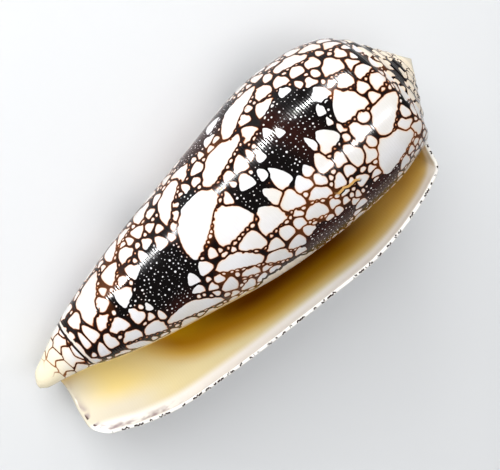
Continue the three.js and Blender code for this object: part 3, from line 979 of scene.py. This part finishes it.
def scarred(n, outside, turn, down):
    """The outside's colour with its two scars, a painted shadow beside the short one, and the plain
    strip beside the slot.
    """
    # A jagged growth scar beside the slot, with plain shell behind it
    jag = n.times(n.minus(n.noise(n.times(down, 0.4), 1, 2), 0.5), 14)
    at = n.plus(n.step(down, 44.5, 49, -345, -335), n.step(down, 56.5, 60, 0, -13))
    past = n.minus(turn, n.plus(at, jag))
    along = n.times(n.step(down, 44, 45.5), n.step(down, 61.5, 60))
    plain = n.times(along, n.step(past, 0, -0.6))
    outside = n.blend(plain, outside, SCAR_PLAIN)
    line = n.times(along, n.step(n.apart(past, 0), 2.4, 1.6))
    outside = n.blend(line, outside, SCAR_BROWN)
    strip = n.times(n.step(turn, -343, -345.5), n.step(down, 58, 62))
    outside = n.blend(strip, outside, SCAR_CREAM)

    # A short golden scar with a painted shadow along its dark side
    at = n.plus(n.times(down, 0.45), -321.5)
    past = n.minus(turn, n.plus(at, n.times(jag, 0.4)))
    along = n.times(n.step(down, 27.4, 28.4), n.step(down, 34.2, 33))
    painted_shadow = n.times(along, n.step(n.apart(past, -1.6), 1, 0.5))
    outside = n.blend(painted_shadow, outside, SCAR_PAINTED_SHADOW)
    gold = n.times(along, n.step(n.apart(past, 0), 1.3, 0.8))
    return n.blend(gold, outside, SCAR_GOLD)


def grooved(n, outside, turn, down):
    """The outside's colour with the dark groove and the pale ridge above it, on the belly."""
    belly = n.times(n.step(turn, -345, -325), n.step(turn, -175, -200))
    ridge = n.step(n.apart(down, FASCIOLE_DEPTH - 0.6), 0.34, 0.16)
    outside = n.blend(n.times(ridge, belly), outside, RIDGE_WHITE)
    groove = n.step(n.apart(down, FASCIOLE_DEPTH), 0.34, 0.18)
    return n.blend(n.times(groove, belly), outside, GROOVE_BROWN)


def outside_colour(n, position, turn, down):
    dark = n.attribute("darkness", "Fac")
    golden = n.times(n.step(n.noise(position, 70), 0.52, 0.66), n.step(dark, 0.6, 0.2))
    net = net_of_lines(n, position, turn, down, dark, golden)
    white = white_marks(n, position, turn, down, dark, net)
    ground = brown_ground(n, position, turn, down, dark, net, golden)
    outside = n.blend(n.step(net, -0.06, 0), white, ground)
    outside = n.blend(n.step(turn, -1650, -2050), outside, WORN_APEX)
    outside = n.blend(n.step(down, 103.5, 106.5), outside, WORN_BASE)
    return grooved(n, scarred(n, outside, turn, down), turn, down)


def inside_colour(n, position, turn, down, cover):
    """White along the lip, then straw and gold, and dark brown gold deep in the mouth, darker
    inwards partly in the shell's own colour and partly as painted shade.
    """
    straw = n.blend(n.step(down, 87, 99), STRAW, PALE_STRAW)
    inside = n.blend(n.step(turn, -9, -17), LIP_WHITE, straw)
    # Darker inwards into the slot, most halfway down: partly the shell's own colour, partly painted
    # shade
    inwards = n.times(turn, n.step(down, 77, 95, -1, -0.42))
    inwards = n.minus(inwards, n.step(down, 58, 84, 0, 11))
    inside = n.blend(n.step(inwards, 12, 24), inside, GOLD)
    inside = n.blend(n.step(inwards, 19, 31), inside, BROWN_GOLD)
    middle = n.times(n.step(down, 18, 36), n.step(down, 84, 62))
    deepest_and_shade = n.blend(middle, DEEP_GOLD, DEEP_BROWN_AND_SHADE)
    inside = n.blend(n.step(inwards, 29, 40), inside, deepest_and_shade)
    top = n.times(n.step(down, 42, 22, 0, 0.6), n.step(inwards, 8, 20))
    inside = n.blend(top, inside, TOP_GOLD)
    gold = n.times(n.step(down, 81, 97), n.step(turn, -22, -42))
    inside = n.blend(n.times(gold, n.step(down, 108, 98)), inside, BASE_GOLD)

    # Stains along the base and by the end of the lip
    smudge = n.times(n.step(n.noise(position, 260), 0.4, 0.62), n.step(cover, 1.1, 1.8))
    inside = n.blend(smudge, inside, STAIN_MAUVE)
    spots = n.times(n.step(n.noise(position, 520), 0.5, 0.6), n.step(cover, 1.7, 1.9))
    inside = n.blend(spots, inside, STAIN_DARK)

    # A thin line of callus where the mouth's floor starts
    callus = n.times(n.step(turn, -369, -362), n.step(turn, -355, -359))
    return n.blend(callus, inside, CALLUS_CREAM)


def lip_edge_colour(n, down, cover):
    """White, with dark dashes that sway about the edge's middle."""
    dashes = n.step(n.noise(n.times(down, 0.36), 1, 3), 0.51, 0.54)
    sway = n.minus(n.noise(n.times(down, 1.2), 1, 1), 0.1)
    dashes = n.times(dashes, n.step(n.apart(cover, sway), 0.2, 0.12))
    return n.blend(dashes, EDGE_WHITE, DASH_BROWN)


def thread_bump(n, position, down, cover):
    """Fine spiral threads and a little unevenness, fainter on the inside."""
    thread = n.math("SINE", n.times(down, 2 * math.pi / THREAD))
    bump = n.node("ShaderNodeBump")
    bump.inputs["Distance"].default_value = THREAD_HEIGHT * MM
    n.put(bump.inputs["Strength"], n.step(cover, 0.1, 0.6, 0.9, 0.12))
    n.put(bump.inputs["Height"], n.plus(n.times(thread, 0.5), n.noise(position, 350, 4)))
    return bump.outputs[0]


def new_material(name):
    material = bpy.data.materials.new(name)
    material.use_nodes = True
    return material, material.node_tree.nodes["Principled BSDF"]


def shell_material():
    material, shader = new_material("shell_glaze")
    n = Nodes(material.node_tree)
    position = n.node("ShaderNodeTexCoord").outputs["Object"]
    turn, down, cover = n.split(n.attribute("grown"))
    outside = outside_colour(n, position, turn, down)
    inside = inside_colour(n, position, turn, down, cover)
    surface = n.blend(n.step(cover, 0.35, 0.75), outside, inside)
    surface = n.blend(n.step(turn, -1.4, -0.2), surface, lip_edge_colour(n, down, cover))
    n.put(shader.inputs["Base Color"], surface)
    n.put(shader.inputs["Normal"], thread_bump(n, position, down, cover))
    n.put(shader.inputs["Roughness"], n.step(n.noise(position, 200), 0.3, 0.7, 0.09, 0.19))
    shader.inputs["IOR"].default_value = 1.5
    shader.inputs["Specular IOR Level"].default_value = 0.12
    return material


def attribute(mesh, name, kind, field, values):
    made = mesh.attributes.new(name, kind, "CORNER")
    made.data.foreach_set(field, np.ascontiguousarray(values, dtype=np.float32).ravel())


def build_shell():
    surface = shell_surface()
    points, shift = laid_down(np.concatenate(surface.points))
    faces = [face for block in surface.faces for face in block.tolist()]
    mesh = bpy.data.meshes.new("shell_fine")
    mesh.from_pydata(points.tolist(), [], faces)
    mesh.polygons.foreach_set("use_smooth", np.ones(len(faces), bool))
    grown = np.concatenate([block.reshape(-1, 3) for block in surface.grown])
    marks = np.concatenate([block.reshape(-1, NEAREST, 3) for block in surface.marks])
    attribute(mesh, "grown", "FLOAT_VECTOR", "vector", grown)
    for rank in range(NEAREST):
        attribute(mesh, f"mark_{rank}", "FLOAT_VECTOR", "vector", marks[:, rank])
    attribute(mesh, "darkness", "FLOAT", "value", darkness(grown[:, 0], grown[:, 1]))
    mesh.materials.append(shell_material())
    mesh.update()
    piece = bpy.data.objects.new("shell_fine", mesh)
    bpy.context.scene.collection.objects.link(piece)
    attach(piece, "root")
    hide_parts("shell")
    return shift


def add_floor():
    half = 3  # metres
    material, shader = new_material("floor")
    shader.inputs["Base Color"].default_value = colour(218, 220, 222)
    shader.inputs["Roughness"].default_value = 0.8
    mesh = bpy.data.meshes.new("floor")
    corners = [(-half, -half, 0), (half, -half, 0), (half, half, 0), (-half, half, 0)]
    mesh.from_pydata(corners, [], [(0, 1, 2, 3)])
    mesh.materials.append(material)
    floor = bpy.data.objects.new("floor", mesh)
    bpy.context.scene.collection.objects.link(floor)


def stand(piece, at, right, up, back):
    """Puts a piece at a place in metres, looking away from back."""
    axes = Matrix((right, up, back)).transposed().to_4x4()
    piece.matrix_world = Matrix.Translation(at) @ axes
    bpy.context.scene.collection.objects.link(piece)


# The camera looks straight into the mouth, square to the axis. In its picture the axis runs from
# lower left to upper right.
CAMERA_AWAY = 300  # mm from the axis
AXIS_SLOPE = 41.3165  # degrees above level in the picture
AIM = (5.7, -52.7)  # X and Z that it aims at, in the shell's own frame
VIEW_WIDTH = 110.5  # mm that the picture takes in at the axis
SENSOR_WIDTH = 36  # mm


def add_camera(shift):
    slope = math.radians(AXIS_SLOPE)
    apex_way, lip_way = Vector((0, 0, 1)), Vector((1, 0, 0))
    right = apex_way * math.cos(slope) + lip_way * math.sin(slope)
    up = apex_way * math.sin(slope) - lip_way * math.cos(slope)
    back = right.cross(up)
    turn = lying()
    aim = turn @ Vector((AIM[0], 0, AIM[1])) + Vector(shift)
    camera = bpy.data.cameras.new("camera")
    camera.sensor_width = SENSOR_WIDTH
    camera.lens = SENSOR_WIDTH * CAMERA_AWAY / VIEW_WIDTH
    camera.clip_start = 0.01
    piece = bpy.data.objects.new("camera", camera)
    at = (aim + turn @ back * CAMERA_AWAY) * MM
    stand(piece, at, turn @ right, turn @ up, turn @ back)
    bpy.context.scene.camera = piece


# Area lights as [name, way to it in the shell's own frame, metres away, size across the axis and
# along it, power, whether it is soft]. A soft one gives no highlights, and the others nothing else.
LIGHTS = [
    ["left", (-0.34, -0.93, 0.12), 0.8, (0.45, 0.5), 4.25, True],
    ["far_left", (-0.6, -0.79, 0.12), 0.8, (0.25, 0.5), 1.3, True],
    ["right", (0.3, -0.95, 0.1), 0.8, (0.4, 0.5), 2, True],
    ["streak", (-0.59, -0.74, -0.33), 0.6, (0.07, 0.08), 10, False],
    ["shoulder_shine", (0.57, -0.72, 0.38), 0.6, (0.05, 0.2), 7, False],
    ["base_shine", (-0.59, -0.67, 0.46), 0.6, (0.03, 0.08), 9, False],
]


def add_light(name, way, away, size, power, soft):
    light = bpy.data.lights.new(name, "AREA")
    light.shape = "RECTANGLE"
    light.size, light.size_y = size
    light.energy = power
    piece = bpy.data.objects.new(name, light)
    back = (lying() @ Vector(way)).normalized()
    along = (lying() @ Vector((0, 0, 1))).normalized()
    across = along.cross(back).normalized()
    stand(piece, back * away, across, back.cross(across), back)
    piece.visible_glossy = not soft
    piece.visible_diffuse = soft


def light_scene():
    world = bpy.data.worlds.new("world")
    world.use_nodes = True
    background = world.node_tree.nodes["Background"]
    background.inputs["Color"].default_value = (1, 1, 1, 1)
    background.inputs["Strength"].default_value = 0.43
    bpy.context.scene.world = world
    for light in LIGHTS:
        add_light(*light)
    bpy.context.scene.view_settings.view_transform = "Standard"


shift = build_shell()
add_camera(shift)
light_scene()
add_floor()
